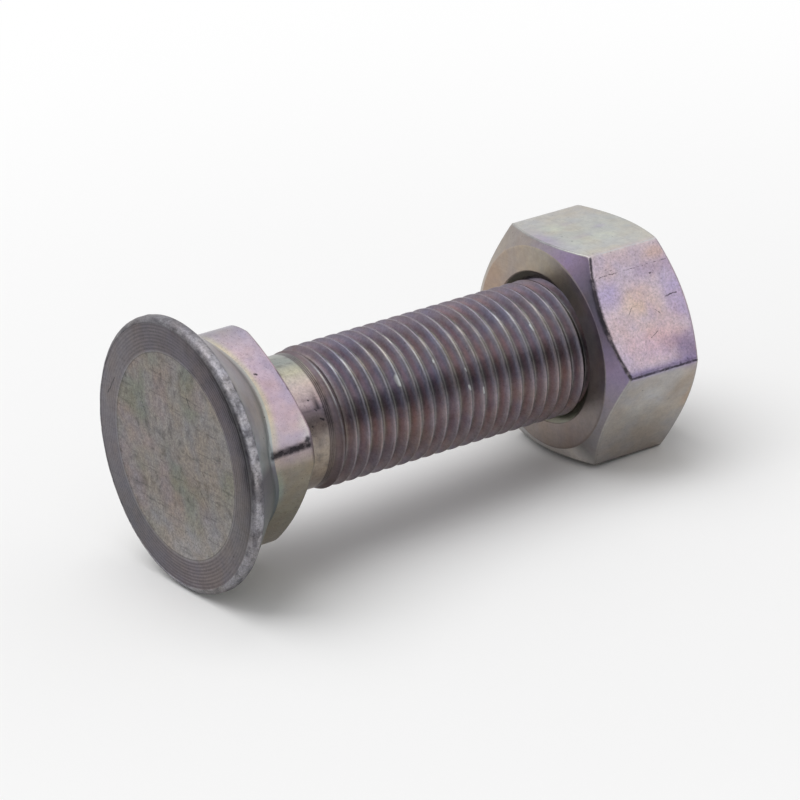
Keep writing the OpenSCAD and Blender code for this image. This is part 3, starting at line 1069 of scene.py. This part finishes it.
# The floor keeps the shadow near the part and is plain white further off, in metres
FLOOR_SIZE = 3.0
FLOOR_TONE = 0.86
FADE_FROM, FADE_TO = 0.05, 0.16


def make_floor():
    """A plain pale floor that fades into the white background far from the part."""
    mesh = bpy.data.meshes.new("floor")
    corners = [(-1, -1), (1, -1), (1, 1), (-1, 1)]
    mesh.from_pydata([(x * FLOOR_SIZE, y * FLOOR_SIZE, 0) for x, y in corners], [], [(0, 1, 2, 3)])
    floor = bpy.data.objects.new("floor", mesh)
    bpy.context.scene.collection.objects.link(floor)
    material = bpy.data.materials.new("floor")
    w = Weave(material)
    shader = w.nodes["Principled BSDF"]
    shader.inputs["Base Color"].default_value = (FLOOR_TONE, FLOOR_TONE, FLOOR_TONE, 1)
    shader.inputs["Roughness"].default_value = 0.9
    shader.inputs["Specular IOR Level"].default_value = 0.0
    far = w.vector("LENGTH", w.node("ShaderNodeTexCoord").outputs["Object"])
    path = w.node("ShaderNodeLightPath")
    seen = w.maths("MAXIMUM", path.outputs["Is Camera Ray"], path.outputs["Is Glossy Ray"])
    mix = w.node("ShaderNodeMixShader")
    w.fill(mix.inputs[0], w.maths("MULTIPLY", w.smooth(far, FADE_FROM, FADE_TO), seen))
    w.fill(mix.inputs[1], shader.outputs[0])
    w.fill(mix.inputs[2], w.node("ShaderNodeEmission").outputs[0])
    w.fill(w.nodes["Material Output"].inputs["Surface"], mix.outputs[0])
    mesh.materials.append(material)


# The dim room that the metal mirrors: where it lies, how high and wide it is, and its tone
ROOM_WAY = (0.53, -0.85)
ROOM_HEIGHT = 0.12
ROOM_HALF = 0.14
ROOM_SIDE = (-0.2, 0.5)
ROOM_TONE = 0.05
# How much of the white surroundings lights the floor and the matt parts
FILL = 0.6


def make_world():
    """White all round, with the dim room low down where the metal mirrors it."""
    world = bpy.data.worlds.new("studio")
    bpy.context.scene.world = world
    w = Weave(world)
    way = w.node("ShaderNodeTexCoord").outputs["Generated"]
    split = w.node("ShaderNodeSeparateXYZ")
    w.fill(split.inputs[0], way)
    front = w.vector("DOT_PRODUCT", way, (*ROOM_WAY, 0))
    off = w.maths("ABSOLUTE", w.maths("SUBTRACT", split.outputs["Z"], ROOM_HEIGHT))
    in_band = w.maths("SUBTRACT", 1.0, w.smooth(off, ROOM_HALF * 0.4, ROOM_HALF * 1.6))
    dim = w.maths("MULTIPLY", in_band, w.smooth(front, *ROOM_SIDE))
    mirrored = w.maths("SUBTRACT", 1.0, w.maths("MULTIPLY", dim, 1 - ROOM_TONE))
    path = w.node("ShaderNodeLightPath")
    part = w.span(path.outputs["Is Glossy Ray"], 0, 1, FILL, 1.0)
    level = w.maths("MAXIMUM", w.maths("MULTIPLY", mirrored, part), path.outputs["Is Camera Ray"])
    background = w.nodes["Background"]
    w.fill(background.inputs["Strength"], level)
    background.inputs["Color"].default_value = (1, 1, 1, 1)


# The soft lamp over the part: its place and size in metres, and its power in watts
LAMP_AT = (-0.2, 0.35, 1.3)
LAMP_SIZE = 1.4
LAMP_POWER = 13


def make_lamp():
    """One square lamp that faces the part."""
    data = bpy.data.lights.new("overhead", "AREA")
    data.size = LAMP_SIZE
    data.energy = LAMP_POWER
    lamp = bpy.data.objects.new("overhead", data)
    lamp.location = LAMP_AT
    way = -lamp.location.normalized()
    lamp.rotation_euler = way.to_track_quat("-Z", "Y").to_euler()
    bpy.context.scene.collection.objects.link(lamp)


# Where the photo was taken from, in metres, and the lens in millimetres for a picture that wide
CAMERA_AT = (-0.25825, -0.38828, 0.2130)
CAMERA_RIGHT = (0.81304, -0.57682, -0.07898)
CAMERA_AHEAD = (0.50482, 0.76604, -0.39792)
CAMERA_LENS = 235.1
CAMERA_WIDTH = 36
CLIP_NEAR, CLIP_FAR = 0.01, 20


def make_camera():
    """The camera at the photo's place."""
    right, ahead = np.array(CAMERA_RIGHT), np.array(CAMERA_AHEAD)
    ahead = ahead / np.linalg.norm(ahead)
    right = right - ahead * (right @ ahead)
    right = right / np.linalg.norm(right)
    up = np.cross(right, ahead)
    data = bpy.data.cameras.new("camera")
    data.lens = CAMERA_LENS
    data.sensor_width = CAMERA_WIDTH
    data.clip_start, data.clip_end = CLIP_NEAR, CLIP_FAR
    camera = bpy.data.objects.new("camera", data)
    turn = np.eye(4)
    turn[:3, 0], turn[:3, 1], turn[:3, 2], turn[:3, 3] = right, up, -ahead, CAMERA_AT
    camera.matrix_world = Matrix(turn.tolist())
    bpy.context.scene.collection.objects.link(camera)
    bpy.context.scene.camera = camera


make_floor()
make_world()
make_lamp()
make_camera()
bpy.context.scene.view_settings.view_transform = "Standard"
